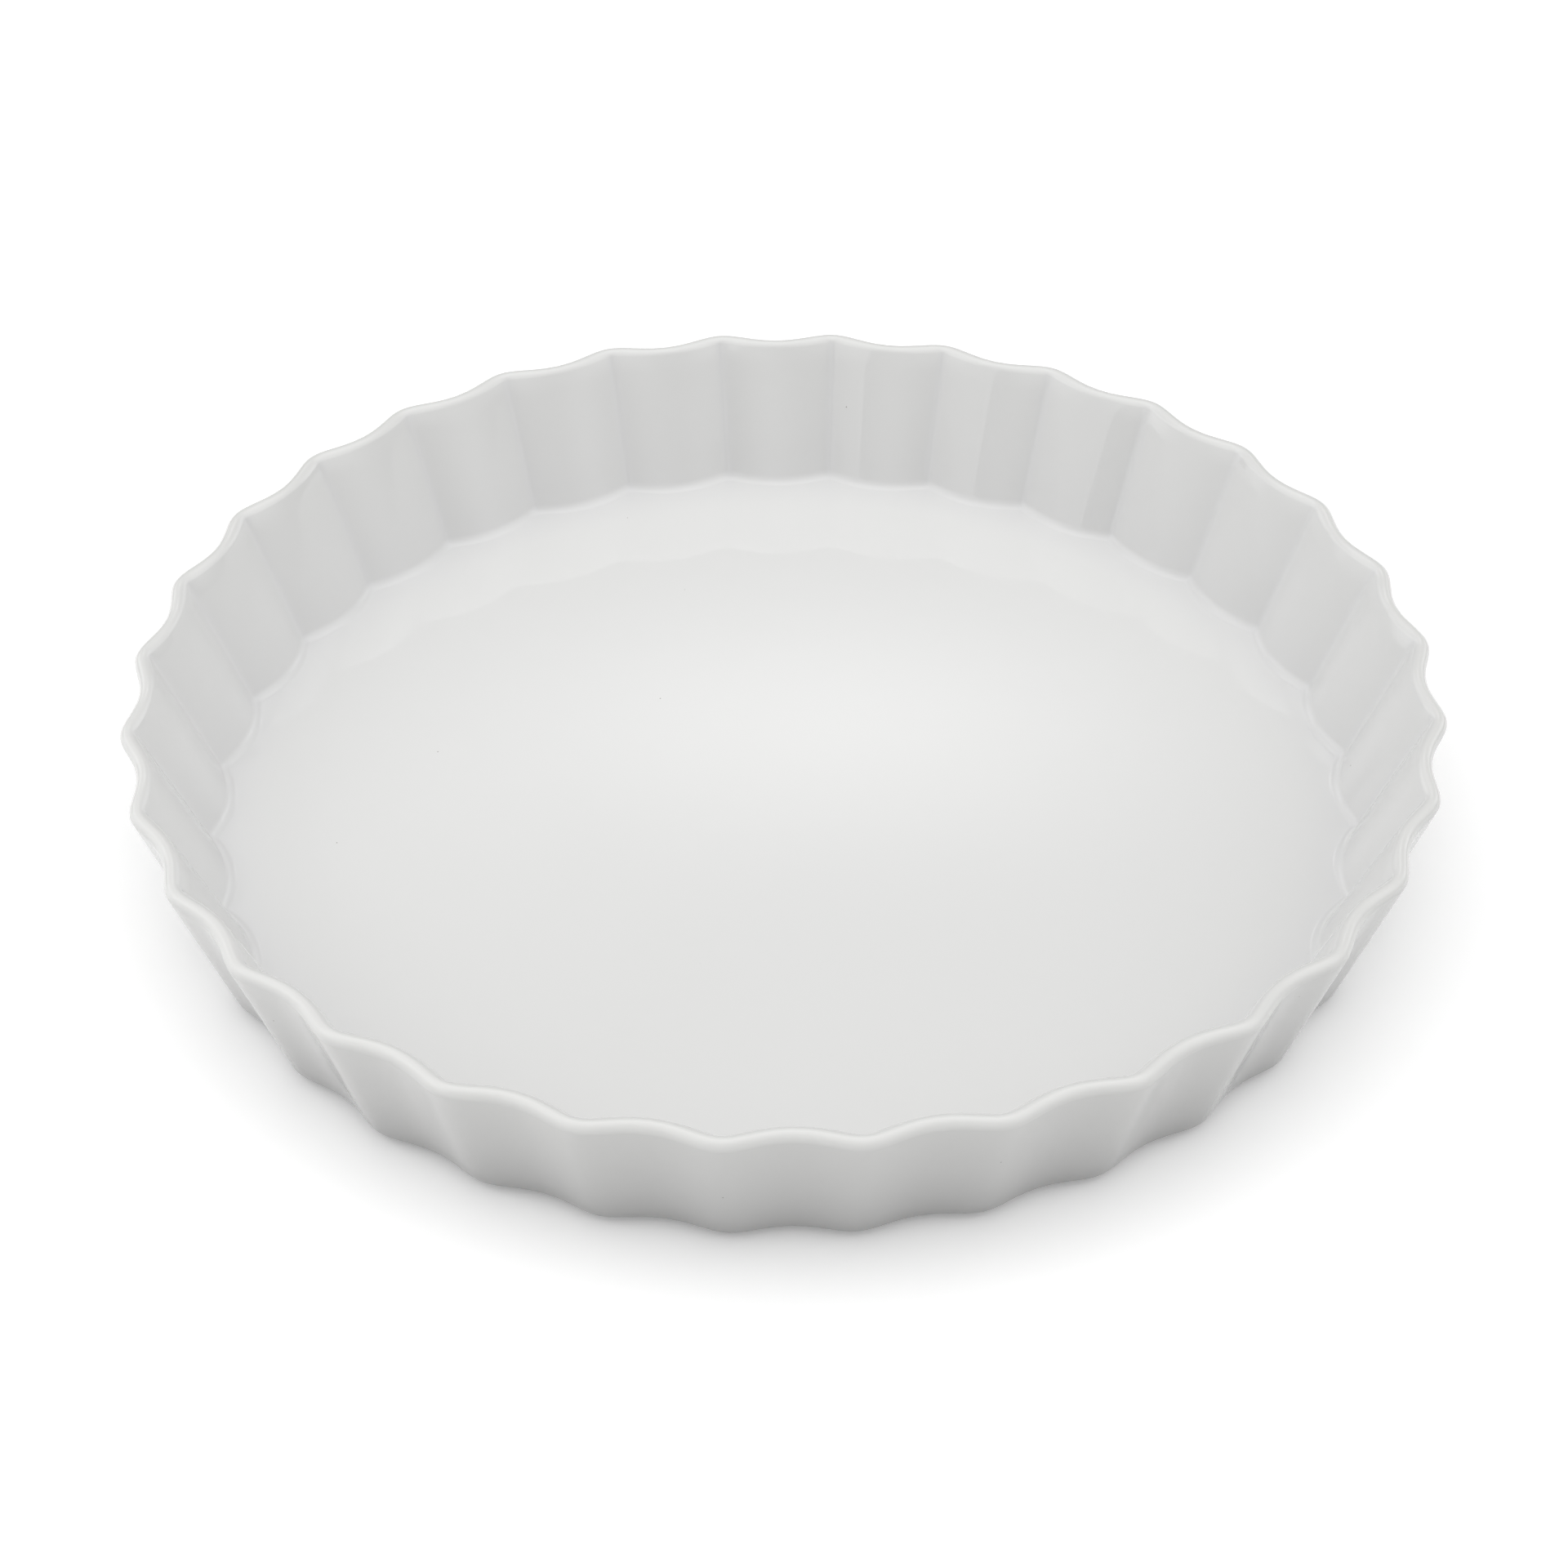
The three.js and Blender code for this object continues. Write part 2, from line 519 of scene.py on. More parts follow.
    def glaze_lip(self, side: Side) -> Outline:
        """The round end of the glaze on one slope of the foot ring, from its face to its underside.

        Args:
            side: which side of the ring.

        Returns:
            The outline.
        """
        slope = self.foot_slope(side)[2]
        middle = self.foot_flank_outline(side).at_depth(self.glaze / 2).points[-1]
        bead = Press(self.base_flutes.faded(), *self.pooling.glaze_line)
        angles = (slope, slope - side.value * math.pi)
        return arc(middle, self.glaze / 2, angles, self.steps.glaze_lip, (bead, bead))

    def foot_outline(self) -> Outline:
        """The bare foot ring, from its outer edge to its inner one, with both edges a little rounded.

        Returns:
            The outline.
        """
        bare = Press(self.base_flutes.faded())
        rounding = self.foot_edge_round
        outer, inner = (self.foot_slope(side)[2] for side in Side)
        outer_centre = (self.foot_outer_radius - rounding * math.tan((outer - DOWN) / 2), rounding)
        inner_centre = (self.foot_inner_radius + rounding * math.tan((DOWN - inner) / 2), rounding)
        return Outline.joined(
            arc(outer_centre, rounding, (outer, DOWN), self.steps.foot_edge, (bare, bare)),
            arc(inner_centre, rounding, (DOWN, inner), self.steps.foot_edge, (bare, bare)),
        )

    def turns(self) -> Array:
        """Turn angles round the dish, closer together at the ridges, where the wall bends most.

        Within a half flute, an even parameter t from 0 at the ridge to 1 at the hollow becomes the
        share (1 - g) t^3 + g t of the half flute, where g is the size of the steps at the ridge.

        Returns:
            The angles in radians, from 0 to just under a full turn.
        """
        t = np.arange(-self.steps.half_flute, self.steps.half_flute) / self.steps.half_flute
        share = (1 - self.steps.at_ridge) * t**3 + self.steps.at_ridge * t
        half_pitch = math.pi / self.flutes
        ridges = 2 * half_pitch * np.arange(self.flutes)
        return (ridges[:, None] + half_pitch * share).ravel()

    def surface(self, outline: Outline) -> tuple[Array, Array]:
        """Turns an outline about the dish's axis and presses its flutes in.

        With s the share of the way from a ridge to the middle of the hollow, and e the ridge's
        softness over the half flute's width, the rounded share q is sqrt(s^2 + e^2) - e, scaled to
        reach 1 at the hollow. The wall lies depth times q (2 - q) inside its ridge tips, which is a
        hollow arc from ridge to ridge. A turn of 0 is at -Y. What the ridges have of the glaze fades
        from them as exp(-(s / w)^2), with w the ridge width of the pooling.

        Args:
            outline: what is turned.

        Returns:
            Points in metres by row and turn, and how far the glaze has gathered at each.
        """
        half_pitch = math.pi / self.flutes
        turns = self.turns()
        from_ridge = np.abs(turns / half_pitch - 2 * np.round(turns / (2 * half_pitch)))
        depth, softness = outline.flutes.T[:, :, None]
        soft = softness / (half_pitch * self.rim_radius)
        share = (np.hypot(from_ridge, soft) - soft) / (np.hypot(1.0, soft) - soft)
        radius = outline.points[:, :1] - depth * share * (2 - share)
        radius = np.where(outline.points[:, :1] > 0, radius, 0.0)
        height = np.broadcast_to(outline.points[:, 1:], radius.shape)
        points = np.stack([radius * np.sin(turns), -radius * np.cos(turns), height], axis=-1) * MM
        at_ridge = np.exp(-((from_ridge / self.pooling.ridge_width) ** 2))
        pool = outline.pool[:, :1] + outline.pool[:, 1:] * at_ridge
        return points, pool


def turned_mesh(name: str, points: Array) -> bpy.types.Mesh:
    """Makes a closed mesh of a turned surface that starts and ends on the axis.

    The first and last rows shrink to one vertex each, joined to the next row by a fan. Every other
    cell of the grid is a quad, and the last turn joins the first. With turns anticlockwise seen from
    above, a surface that starts on top has its faces outwards.

    Args:
        name: the mesh's name.
        points: points in metres by row and turn.

    Returns:
        The mesh, smooth, with a sharp edge only where it really turns a corner.
    """
    rows, turns = points.shape[0] - 2, points.shape[1]
    vertices = np.concatenate([points[:1, 0], points[1:-1].reshape(-1, 3), points[-1:, 0]])
    here = np.arange(turns)
    after = np.roll(here, -1)
    row = 1 + turns * np.arange(rows - 1)[:, None]
    quads = np.stack([row + here, row + turns + here, row + turns + after, row + after], axis=-1)
    last = 1 + turns * (rows - 1)
    top = np.stack([np.zeros_like(here), 1 + here, 1 + after], axis=-1)
    bottom = np.stack([last + here, np.full_like(here, last + turns), last + after], axis=-1)
    mesh = bpy.data.meshes.new(name)
    faces = top.tolist() + quads.reshape(-1, 4).tolist() + bottom.tolist()
    mesh.from_pydata(vertices, [], faces)
    mesh.shade_smooth()
    mesh.set_sharp_from_angle(angle=math.radians(SHARP_CORNER))
    mesh.validate()
    return mesh


def pole_rows(values: Array) -> Array:
    """A turned surface's values by vertex, with one value for each of its two poles."""
    return np.concatenate([values[0, :1], values[1:-1].ravel(), values[-1, :1]])


def empty_material(name: str) -> bpy.types.Material:
    """Makes a material that has no nodes yet.

    Args:
        name: the material's name.

    Returns:
        The material.
    """
    material = bpy.data.materials.new(name)
    material.use_nodes = True
    material.node_tree.nodes.clear()
    return material


@dataclass(frozen=True)
class WhiteGlaze:
    """Fired feldspar glaze on white porcelain: clear glass over a white body.

    The eye gets a soft white with a sharp, faint mirror image on it. Over the rim, fading down the outer
    wall, the white is a little darker and duller: partly because the glaze ran thin there and the body
    shows through, and partly as painted shade that tones down the light on the rim. Where the glaze
    gathered, in the grooves and round the floor, it is a little cooler and glossier. It has set with a
    very slight ripple, and here and there an iron speck has come through.
    """

    name: str = "fired_white_glaze"
    colour: str = "#dfdfde"
    # thin colour: partly thin glaze, partly painted shade that tones down the light on the rim
    thin_colour_with_painted_shade: str = "#dadad8"
    pooled_colour: str = "#dedede"
    speck_colour: str = "#8d8a84"
    thin_roughness: float = 0.039
    pooled_roughness: float = 0.024
    ior: float = 1.5
    ripple_width: float = 9.0  # mm from crest to crest
    ripple_height: float = 0.006  # mm
    cloud_width: float = 60.0  # mm, faint change of tone over the dish
    cloud_share: float = 0.5  # how far the clouds reach, against the change from plain to pooled
    speck_spacing: float = 17.0  # mm
    speck_radius: float = 0.22  # mm; real ones are finer, and this is what shows in a picture
    speck_core: float = 0.4  # share of a speck's radius that has its full colour

    def material(self) -> bpy.types.Material:
        """Makes the glaze from its colours and sizes.

        Returns:
            The material.
        """
        material = empty_material(self.name)
        tree = material.node_tree
        place = add_node(tree, "ShaderNodeTexCoord").outputs["Object"]
        tone = self.tone(tree, place)
        roughness = add_node(
            tree,
            "ShaderNodeMapRange",
            {"Value": tone, "To Min": self.thin_roughness, "To Max": self.pooled_roughness},
        ).outputs[0]
        inputs = {
            "Base Color": self.specked_colour(tree, place, tone),
            "Roughness": roughness,
            "IOR": self.ior,
            "Normal": self.rippled_normal(tree, place),
        }
        shader = add_node(tree, "ShaderNodeBsdfPrincipled", inputs)
        add_node(tree, "ShaderNodeOutputMaterial", {"Surface": shader.outputs[0]})
        return material

    def tone(self, tree: Tree, place: Socket) -> Socket:
        """Adds the nodes that say how far the glaze has gathered, with faint clouds in it.

        Args:
            tree: the material's node tree.
            place: output that gives the place on the dish.

        Returns:
            The output that gives the tone: 0 for thin, a half for plain and 1 for pooled.
        """
        pool = add_node(tree, "ShaderNodeAttribute", attribute_name=POOL_AND_PAINTED_SHADE).outputs["Fac"]
        cloud = add_node(
            tree,
            "ShaderNodeTexNoise",
            {"Vector": place, "Scale": 1 / (self.cloud_width * MM), "Detail": 2.0},
        ).outputs["Fac"]
        clouded = add_node(
            tree, "ShaderNodeMath", {0: cloud, 1: self.cloud_share, 2: pool}, operation="MULTIPLY_ADD"
        ).outputs[0]
        plain = self.cloud_share / 2
        return add_node(
            tree, "ShaderNodeMapRange", {"Value": clouded, "From Min": plain - 1, "From Max": plain + 1}
        ).outputs[0]

    def specked_colour(self, tree: Tree, place: Socket, tone: Socket) -> Socket:
        """Adds the nodes that tint the glaze by its tone, with painted shade over the rim, and put the
        iron specks in.

        Args:
            tree: the material's node tree.
            place: output that gives the place on the dish.
            tone: output that says how far the glaze has gathered.

        Returns:
            The output that gives the colour.
        """
        # the ramp's thin end paints shade over the rim; the rest is the glaze's own tint
        tint = add_node(tree, "ShaderNodeValToRGB", {"Fac": tone})
        tint.color_ramp.elements[0].color = linear(self.thin_colour_with_painted_shade)
        tint.color_ramp.elements[1].color = linear(self.pooled_colour)
        tint.color_ramp.elements.new(0.5).color = linear(self.colour)
        distance = add_node(
            tree,
            "ShaderNodeTexVoronoi",
            {"Vector": place, "Scale": 1 / (self.speck_spacing * MM)},
        ).outputs["Distance"]
        edge = self.speck_radius / self.speck_spacing
        core = self.speck_core * edge
        speck = add_node(
            tree,
            "ShaderNodeMapRange",
            {"Value": distance, "From Min": core, "From Max": edge, "To Min": 1.0, "To Max": 0.0},
            interpolation_type="SMOOTHSTEP",
        ).outputs[0]
        return add_node(
            tree,
            "ShaderNodeMix",
            {"Factor": speck, 6: tint.outputs["Color"], 7: linear(self.speck_colour)},
            data_type="RGBA",
        ).outputs[2]

    def rippled_normal(self, tree: Tree, place: Socket) -> Socket:
        """Adds the nodes that give the ripple in which the glaze has set.

        Args:
            tree: the material's node tree.
            place: output that gives the place on the dish.

        Returns:
            The output that gives the surface's normal.
        """
        ripple = add_node(
            tree,
            "ShaderNodeTexNoise",
            {"Vector": place, "Scale": 1 / (self.ripple_width * MM), "Detail": 1.0},
        ).outputs["Fac"]
        return add_node(
            tree,
            "ShaderNodeBump",
            {"Height": ripple, "Distance": self.ripple_height * MM, "Strength": 1.0},
        ).outputs["Normal"]


@dataclass(frozen=True)
class BarePorcelain:
    """Unglazed porcelain, ground flat where it stood on the kiln shelf.

    The eye gets a matt, slightly creamy white with a fine grain, and grey rub marks from use.
    """

    name: str = "bare_ground_porcelain"
    colour: str = "#e4dfd5"
    grain_colour: str = "#d3ccbf"
    rub_colour: str = "#b9b5ae"
    roughness: float = 0.78
    rubbed_roughness: float = 0.585
    ior: float = 1.5
    grain_width: float = 0.5  # mm
    grain_height: float = 0.02  # mm
    rub_width: float = 14.0  # mm
    rub_start: float = 0.55  # level of the noise at which a rub mark starts
    rub_full: float = 0.75  # level at which it is at its full strength
    rub_cover: float = 0.6  # how much of the clay's colour it then hides

    def material(self) -> bpy.types.Material:
        """Makes the bare clay from its colours and sizes.

        Returns:
            The material.
        """
        material = empty_material(self.name)
        tree = material.node_tree
        place = add_node(tree, "ShaderNodeTexCoord").outputs["Object"]
        grain = add_node(
            tree,
            "ShaderNodeTexNoise",
            {"Vector": place, "Scale": 1 / (self.grain_width * MM), "Detail": 3.0},
        ).outputs["Fac"]
        rubbed = self.rubbed(tree, place)
        clay = add_node(
            tree,
            "ShaderNodeMix",
            {"Factor": grain, 6: linear(self.colour), 7: linear(self.grain_colour)},
            data_type="RGBA",
        ).outputs[2]
        colour = add_node(
            tree,
            "ShaderNodeMix",
            {"Factor": rubbed, 6: clay, 7: linear(self.rub_colour)},
            data_type="RGBA",
        ).outputs[2]
        roughness = add_node(
            tree,
            "ShaderNodeMapRange",
            {"Value": rubbed, "To Min": self.roughness, "To Max": self.rubbed_roughness},
        ).outputs[0]
        normal = add_node(
            tree,
            "ShaderNodeBump",
            {"Height": grain, "Distance": self.grain_height * MM, "Strength": 1.0},
        ).outputs["Normal"]
        shader = add_node(
            tree,
            "ShaderNodeBsdfPrincipled",
            {"Base Color": colour, "Roughness": roughness, "IOR": self.ior, "Normal": normal},
        )
        add_node(tree, "ShaderNodeOutputMaterial", {"Surface": shader.outputs[0]})
        return material

    def rubbed(self, tree: Tree, place: Socket) -> Socket:
        """Adds the nodes that say where the foot has been rubbed grey.

        Args:
            tree: the material's node tree.
            place: output that gives the place on the dish.

        Returns:
            The output that gives the rub marks: 0 where there are none, up to their full cover.
        """
        rub = add_node(
            tree,
            "ShaderNodeTexNoise",
            {"Vector": place, "Scale": 1 / (self.rub_width * MM), "Detail": 5.0, "Roughness": 0.7},
        ).outputs["Fac"]
        return add_node(
            tree,
            "ShaderNodeMapRange",
            {
                "Value": rub,
                "From Min": self.rub_start,
                "From Max": self.rub_full,
                "To Max": self.rub_cover,
            },
        ).outputs[0]


@dataclass
class FlanDish:
    """The dish: its clay body, the glaze coat over it and the glaze disc under it."""

    shape: DishShape
    glaze: WhiteGlaze = WhiteGlaze()
    clay: BarePorcelain = BarePorcelain()
    carrier: str = "root"  # the frame's body that the pieces ride on

    def build(self) -> list[bpy.types.Object]:
        """Builds and dresses the three pieces.

        Returns:
            Their objects.
        """
        fired, bare = self.glaze.material(), self.clay.material()
        return [
            self.piece("white_glaze_coat", self.coat_outline(), fired, Node.COAT, Slot.GLAZE),
            self.piece("white_glaze_disc", self.disc_outline(), fired, Node.BASE_GLAZE, Slot.GLAZE),
            self.piece("pressed_porcelain", self.clay_outline(), bare, Node.BODY, Slot.CLAY),
        ]

    def coat_outline(self) -> Outline:
        """The coat: out over the fired surface to its round lip, and back along its underside.

        Returns:
            The outline.
        """
        fired = self.shape.dish_outline()
        lip = self.shape.glaze_lip(Side.OUTER).after_start()
        under = fired.at_depth(self.shape.glaze).reversed().after_start()
        return Outline.joined(fired, lip, under)

    def disc_outline(self) -> Outline:
        """The disc: out along its upper side to its round lip, and back over the fired surface.

        Returns:
            The outline.
        """
        fired = self.shape.recess_outline()
        upper = fired.at_depth(self.shape.glaze)
        lip = self.shape.glaze_lip(Side.INNER).reversed().after_start()
        return Outline.joined(upper, lip, fired.reversed().after_start())

    def clay_outline(self) -> Outline:
        """The body: under the coat to the foot ring, across it, and back under the disc.

        Returns:
            The outline.
        """
        depth = self.shape.glaze + self.shape.glaze_clearance
        return Outline.joined(
            self.shape.dish_outline().at_depth(depth),
            self.shape.foot_outline(),
            self.shape.recess_outline().at_depth(depth).reversed(),
        )

    def piece(
        self, name: str, outline: Outline, finish: bpy.types.Material, node: Node, slot: Slot
    ) -> bpy.types.Object:
        """Makes one piece of the dish and puts it in its CAD node's place.

        Args:
            name: the piece's name.
            outline: its outline, from the axis on top to the axis below.
            finish: its material.
            node: the CAD node that it stands for.
            slot: the record's slot for its finish; not used.

        Returns:
            The piece's object.
        """
        points, pool = self.shape.surface(outline)
        mesh = turned_mesh(name, points)
        gathered = mesh.attributes.new(POOL_AND_PAINTED_SHADE, "FLOAT", "POINT")
        gathered.data.foreach_set("value", pole_rows(pool).astype(np.float32))
        mesh.materials.append(finish)
        made = bpy.data.objects.new(name, mesh)
        bpy.context.scene.collection.objects.link(made)
        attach(made, self.carrier)
        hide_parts(node.value)
        return made


@dataclass(frozen=True)
class SoftGlow:
    """A round, soft patch of light on the studio's walls or ceiling.

    name: where it is, in words.
    azimuth, elevation: where its middle is, in degrees.
    width: angle from its middle at which it has fallen to about a third, in degrees.
    strength: light at its middle, where 1 is white.
    """

    name: str
    azimuth: float
    elevation: float
    width: float
    strength: float

    def light(self, tree: Tree, towards: Socket, rest: Socket | float) -> Socket:
        """Adds the nodes that give the glow's light: strength times e to the power of its fall.

        Args:
            tree: the world's node tree.
            towards: output that gives the direction looked in.
            rest: light that is there already, as an output or a number.

        Returns:
            The output that gives the glow's light and the rest together.
        """
        fall = self.fall(tree, towards)
        patch = add_node(
            tree, "ShaderNodeMath", {0: fall}, operation="EXPONENT", label=self.name
        ).outputs[0]
        return add_node(
            tree, "ShaderNodeMath", {0: patch, 1: self.strength, 2: rest}, operation="MULTIPLY_ADD"
        ).outputs[0]

    def fall(self, tree: Tree, towards: Socket) -> Socket:
        """Adds the nodes that give the fall from the glow's middle.

        With z the part of a direction towards the middle, it is (z - 1) / (1 - cos width).

        Args:
            tree: the world's node tree.
            towards: output that gives the direction looked in.

        Returns:
            The output that gives the fall: 0 in the middle and below 0 round it.
        """
        spread = 1 - math.cos(math.radians(self.width))
        middle = direction(self.azimuth, self.elevation) / spread
        facing = add_node(
            tree, "ShaderNodeVectorMath", {0: towards, 1: middle}, operation="DOT_PRODUCT"
        ).outputs["Value"]
        return add_node(
            tree, "ShaderNodeMath", {0: facing, 1: 1 / spread}, operation="SUBTRACT"
        ).outputs[0]


@dataclass(frozen=True)
class SoftStrip(SoftGlow):
    """A soft patch of light that is wider than it is high.

    height: angle up or down from its middle at which it has fallen to about a third, in degrees.
    """

    height: float

    def fall(self, tree: Tree, towards: Socket) -> Socket:
        """Adds the nodes that give the fall from the strip's middle.

        With x, y and z the parts of a direction sideways, up and towards the middle, it is
        -(x^2 / (1 - cos width) + y^2 / (1 - cos height)) / (1 + z).

        Args:
            tree: the world's node tree.
            towards: output that gives the direction looked in.

        Returns:
            The output that gives the fall: 0 in the middle and below 0 round it.
        """
        wide = math.sqrt(1 - math.cos(math.radians(self.width)))
        high = math.sqrt(1 - math.cos(math.radians(self.height)))
        axes = (
            direction(self.azimuth + 90, 0) / wide,
            direction(self.azimuth, self.elevation + 90) / high,
            direction(self.azimuth, self.elevation),
        )
        across, upward, facing = (
            add_node(
                tree, "ShaderNodeVectorMath", {0: towards, 1: axis}, operation="DOT_PRODUCT"
            ).outputs["Value"]
            for axis in axes
        )
        away = add_node(tree, "ShaderNodeCombineXYZ", {"X": across, "Y": upward}).outputs[0]
        square = add_node(
            tree, "ShaderNodeVectorMath", {0: away, 1: away}, operation="DOT_PRODUCT"
        ).outputs["Value"]
        turned_away = add_node(
            tree, "ShaderNodeMath", {0: -1.0, 1: facing}, operation="SUBTRACT"
        ).outputs[0]
        return add_node(
            tree, "ShaderNodeMath", {0: square, 1: turned_away}, operation="DIVIDE"
        ).outputs[0]


@dataclass(frozen=True)
class SoftBox:
    """An oblong lamp with a clean edge, aimed at the dish.

    azimuth, elevation: where it stands, in degrees.
    distance: from the dish, in metres.
    width, height: its sides, in metres.
    strength: light of its face, where 1 is white.
    """

    name: str
    azimuth: float
    elevation: float
    distance: float
    width: float
    height: float
    strength: float


@dataclass(frozen=True)
class Viewpoint:
    """Where the photograph was taken from, found by fitting a pinhole camera to the dish's edges.

    aim: height on the dish's axis that the middle of the picture shows, in millimetres.
    distance: from there, in millimetres.
    focal_length, frame_width: of the lens and of the picture behind it, in millimetres.
    azimuth, elevation, roll: degrees.
    """

    aim: float = 10.69
    distance: float = 883.45
    focal_length: float = 87.22
    azimuth: float = 5.087
    elevation: float = 38.942
    roll: float = -0.255
    frame_width: float = 36.0


@dataclass
class Studio:
    """Plain soft light, a pale floor and the camera."""

    viewpoint: Viewpoint = Viewpoint()
    glows: tuple[SoftGlow, ...] = (
        # overhead
        SoftGlow("ceiling", azimuth=0.0, elevation=90.0, width=28.0, strength=1.35),
        SoftGlow("front_right_high", azimuth=30.0, elevation=50.0, width=25.0, strength=0.15),
        SoftGlow("right_high", azimuth=90.0, elevation=50.0, width=25.0, strength=1.4),
        SoftGlow("back_right_high", azimuth=150.0, elevation=62.0, width=14.0, strength=1.05),
        SoftGlow("back_high", azimuth=180.0, elevation=64.0, width=12.0, strength=0.3),
        SoftGlow("back_left_high", azimuth=210.0, elevation=62.0, width=14.0, strength=0.95),
        SoftGlow("left_high", azimuth=270.0, elevation=50.0, width=25.0, strength=1.35),
        SoftGlow("front_left_high", azimuth=330.0, elevation=50.0, width=25.0, strength=0.3),
        # low round the dish
        SoftGlow("front_low", azimuth=0.0, elevation=18.0, width=25.0, strength=0.85),
        SoftGlow("front_right_low", azimuth=60.0, elevation=18.0, width=25.0, strength=1.05),
        SoftGlow("right_low", azimuth=105.0, elevation=25.0, width=14.0, strength=0.4),
        SoftGlow("back_right_low", azimuth=135.0, elevation=22.0, width=13.0, strength=1.6),
        SoftGlow("back_low", azimuth=155.0, elevation=12.0, width=11.0, strength=0.9),
        SoftGlow("back_left_low", azimuth=225.0, elevation=22.0, width=13.0, strength=1.35),
        SoftGlow("left_low", azimuth=262.0, elevation=8.0, width=8.0, strength=0.7),
        # bright strips that the floor of the dish mirrors
        SoftStrip("back_strip", azimuth=184.0, elevation=38.0, width=5.0, strength=1.65, height=1.9),
        SoftStrip("side_strip", azimuth=198.0, elevation=39.5, width=5.5, strength=0.85, height=2.4),
    )
    boxes: tuple[SoftBox, ...] = (
        SoftBox(
            "left_softbox",
            azimuth=-75.0,
            elevation=22.0,
            distance=1.5,
            width=2.7,
            height=1.2,
            strength=0.85,
        ),
    )
    floor_half_width: float = 20.0  # metres
    floor_colour: str = "#f4f4f4"
    # what the floor throws back on the dish, by metres from the dish's axis: its pale paint far
    # off, with a painted shadow that darkens it close to the dish
    bounce_with_painted_shadow: tuple[tuple[float, str], ...] = ((0.138, "#707070"), (0.16, "#b8b8b8"), (0.3, "#f4f4f4"))
    floor_white: float = 0.2  # light that lifts the floor to white where it is seen

    def build(self) -> list[bpy.types.Object]:
        """Sets up the floor, the light and the camera.

        Returns:
            The objects that stand round the dish.
        """
        self.set_view()
        self.light_room()
        return [self.lay_floor(), *map(self.hang_box, self.boxes), self.aim_camera()]

    def set_view(self) -> None:
        """Shows colours as they are written."""
        bpy.context.scene.view_settings.view_transform = "Standard"

    def light_room(self) -> None:
        """Lights the room with the soft glows; the camera itself sees plain white behind the dish."""
        world = bpy.data.worlds.new("studio_room")
        bpy.context.scene.world = world
        world.use_nodes = True
        tree = world.node_tree
        tree.nodes.clear()
        towards = add_node(tree, "ShaderNodeTexCoord").outputs["Generated"]
        light: Socket | float = 0.0
        for glow in self.glows:
            light = glow.light(tree, towards, light)
        room = add_node(tree, "ShaderNodeBackground", {"Color": linear(WHITE), "Strength": light})
        behind = add_node(tree, "ShaderNodeBackground", {"Color": linear(WHITE), "Strength": 1.0})
        seen = add_node(tree, "ShaderNodeLightPath").outputs["Is Camera Ray"]
        mixed = add_node(
            tree, "ShaderNodeMixShader", {0: seen, 1: room.outputs[0], 2: behind.outputs[0]}
        )
        add_node(tree, "ShaderNodeOutputWorld", {"Surface": mixed.outputs[0]})

    def lay_floor(self) -> bpy.types.Object:
        """Lays a plain pale floor under the dish.

        Returns:
            The floor.
        """
        w = self.floor_half_width
        mesh = bpy.data.meshes.new("studio_floor")
        mesh.from_pydata([(-w, -w, 0), (w, -w, 0), (w, w, 0), (-w, w, 0)], [], [(0, 1, 2, 3)])
        mesh.materials.append(self.floor_finish())
        floor = bpy.data.objects.new("studio_floor", mesh)
        bpy.context.scene.collection.objects.link(floor)
        floor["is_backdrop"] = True
        return floor

    def floor_finish(self) -> bpy.types.Material:
        """Makes the floor's finish, which is white to the camera and keeps the dish's shadow.

        The camera and mirror images see pale paint with some light of its own. What the floor throws
        back on the dish has a painted shadow: it is darker close to the dish.

        Returns:
            The material.
        """
        material = empty_material("pale_studio_floor")
        tree = material.node_tree
        path = add_node(tree, "ShaderNodeLightPath").outputs
        camera, mirrored = path["Is Camera Ray"], path["Is Glossy Ray"]
        shown = add_node(tree, "ShaderNodeMath", {0: camera, 1: mirrored}, operation="MAXIMUM").outputs[0]
        seen = add_node(
            tree, "ShaderNodeMath", {0: shown, 1: path["Is Transmission Ray"]}, operation="MAXIMUM"
        ).outputs[0]
        painted = add_node(tree, "ShaderNodeBsdfDiffuse", {"Color": linear(self.floor_colour)})
        lift = add_node(tree, "ShaderNodeMath", {0: seen, 1: self.floor_white}, operation="MULTIPLY")
        lit = add_node(
            tree, "ShaderNodeEmission", {"Color": linear(WHITE), "Strength": lift.outputs[0]}
        )
        both = add_node(tree, "ShaderNodeAddShader", {0: painted.outputs[0], 1: lit.outputs[0]})
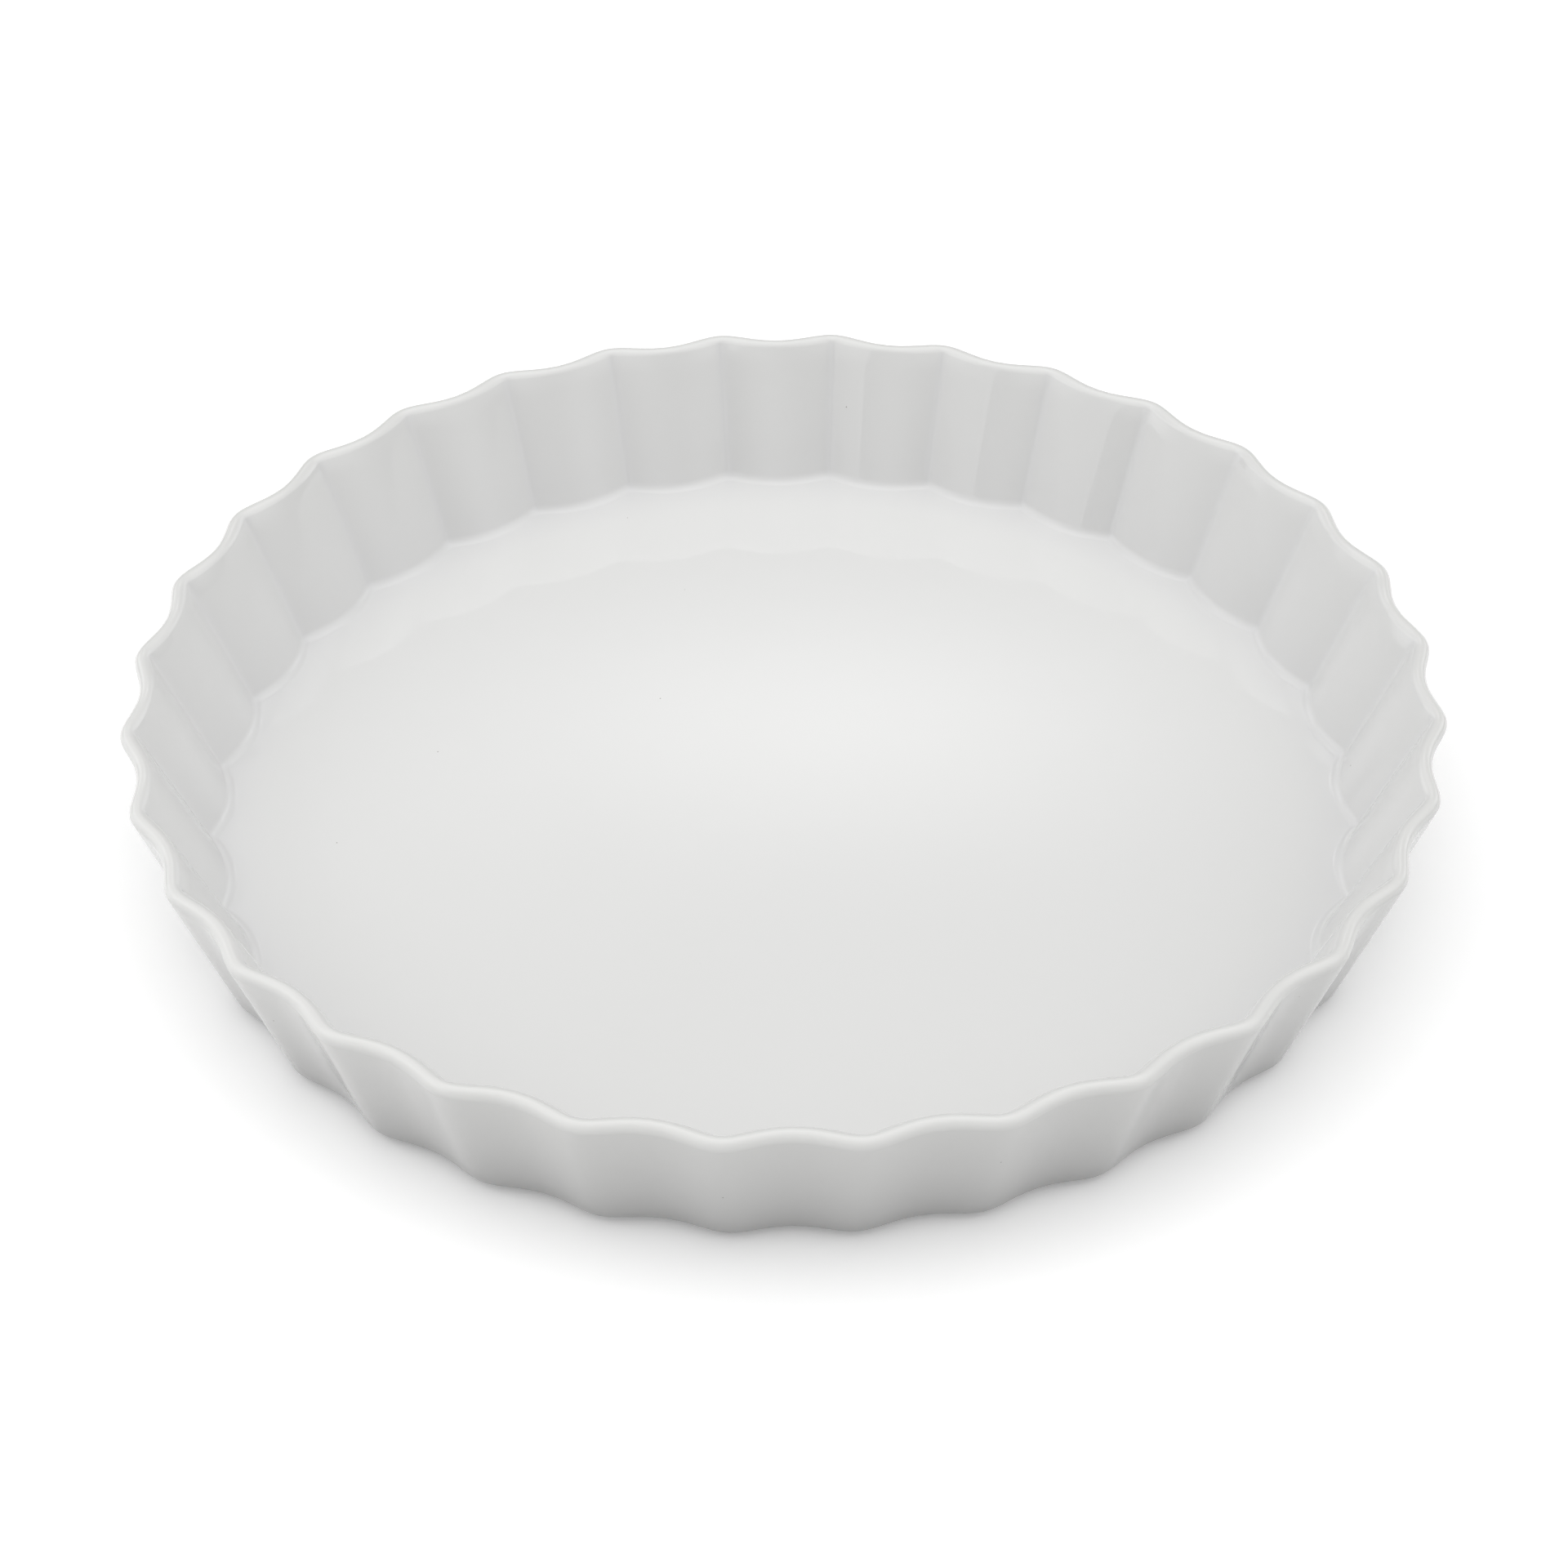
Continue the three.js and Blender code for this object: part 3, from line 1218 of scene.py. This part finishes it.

        # painted shadow: what the floor throws back on the dish darkens towards the dish
        place = add_node(tree, "ShaderNodeTexCoord").outputs["Object"]
        reach = add_node(tree, "ShaderNodeVectorMath", {0: place}, operation="LENGTH").outputs["Value"]
        nearest, *others = self.bounce_with_painted_shadow
        farthest = others[-1][0]
        share = add_node(tree, "ShaderNodeMapRange", {"Value": reach, "From Max": farthest}).outputs[0]
        thrown_with_painted_shadow = add_node(tree, "ShaderNodeValToRGB", {"Fac": share})
        stops = thrown_with_painted_shadow.color_ramp.elements
        stops.remove(stops[1])
        stops[0].position = nearest[0] / farthest
        stops[0].color = linear(nearest[1])
        for distance, colour in others:
            stops.new(distance / farthest).color = linear(colour)
        bounce_with_painted_shadow = add_node(tree, "ShaderNodeBsdfDiffuse", {"Color": thrown_with_painted_shadow.outputs["Color"]})
        mixed = add_node(
            tree, "ShaderNodeMixShader", {0: seen, 1: bounce_with_painted_shadow.outputs[0], 2: both.outputs[0]}
        )
        add_node(tree, "ShaderNodeOutputMaterial", {"Surface": mixed.outputs[0]})
        return material

    def hang_box(self, box: SoftBox) -> bpy.types.Object:
        """Hangs one lamp, whose face has the light that its strength says.

        A lamp's watts are its face's light times pi times the face's area.

        Args:
            box: the lamp.

        Returns:
            The lamp's object.
        """
        lamp = bpy.data.lights.new(box.name, "AREA")
        lamp.shape = "RECTANGLE"
        lamp.size, lamp.size_y = box.width, box.height
        lamp.energy = box.strength * math.pi * box.width * box.height
        hung = bpy.data.objects.new(box.name, lamp)
        hung.visible_camera = False
        bpy.context.scene.collection.objects.link(hung)
        towards = direction(box.azimuth, box.elevation)
        turned = towards.to_track_quat("Z", "Y").to_matrix().to_4x4()
        hung.matrix_world = Matrix.Translation(towards * box.distance) @ turned
        return hung

    def aim_camera(self) -> bpy.types.Object:
        """Stands the camera where the photograph was taken from.

        Returns:
            The camera.
        """
        view = self.viewpoint
        lens = bpy.data.cameras.new("photo_camera")
        lens.sensor_width = view.frame_width
        lens.lens = view.focal_length
        back = direction(view.azimuth, view.elevation)
        level = Vector((0, 0, 1)).cross(back).normalized()
        upright = back.cross(level)
        turn = math.radians(view.roll)
        right = math.cos(turn) * level + math.sin(turn) * upright
        up = back.cross(right)
        camera = bpy.data.objects.new("photo_camera", lens)
        bpy.context.scene.collection.objects.link(camera)
        place = Vector((0, 0, view.aim * MM)) + back * view.distance * MM
        turned = Matrix((right, up, back)).transposed().to_4x4()
        camera.matrix_world = Matrix.Translation(place) @ turned
        bpy.context.scene.camera = camera
        return camera


def main() -> None:
    """Builds the dish and the studio round the frame."""
    logging.basicConfig(level=logging.INFO, format="%(name)s: %(message)s")
    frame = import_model()
    cad_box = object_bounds()
    LOG.info("frame with %s", ", ".join(frame["nodes"]))
    shape = DishShape(height=cad_box[1].z / MM, rim_radius=cad_box[1].x / MM)
    for piece in FlanDish(shape).build():
        LOG.info("%s: %d faces", piece.name, len(piece.data.polygons))
    for thing in Studio().build():
        LOG.info("%s stands round the dish", thing.name)


if __name__ == "__main__":
    main()
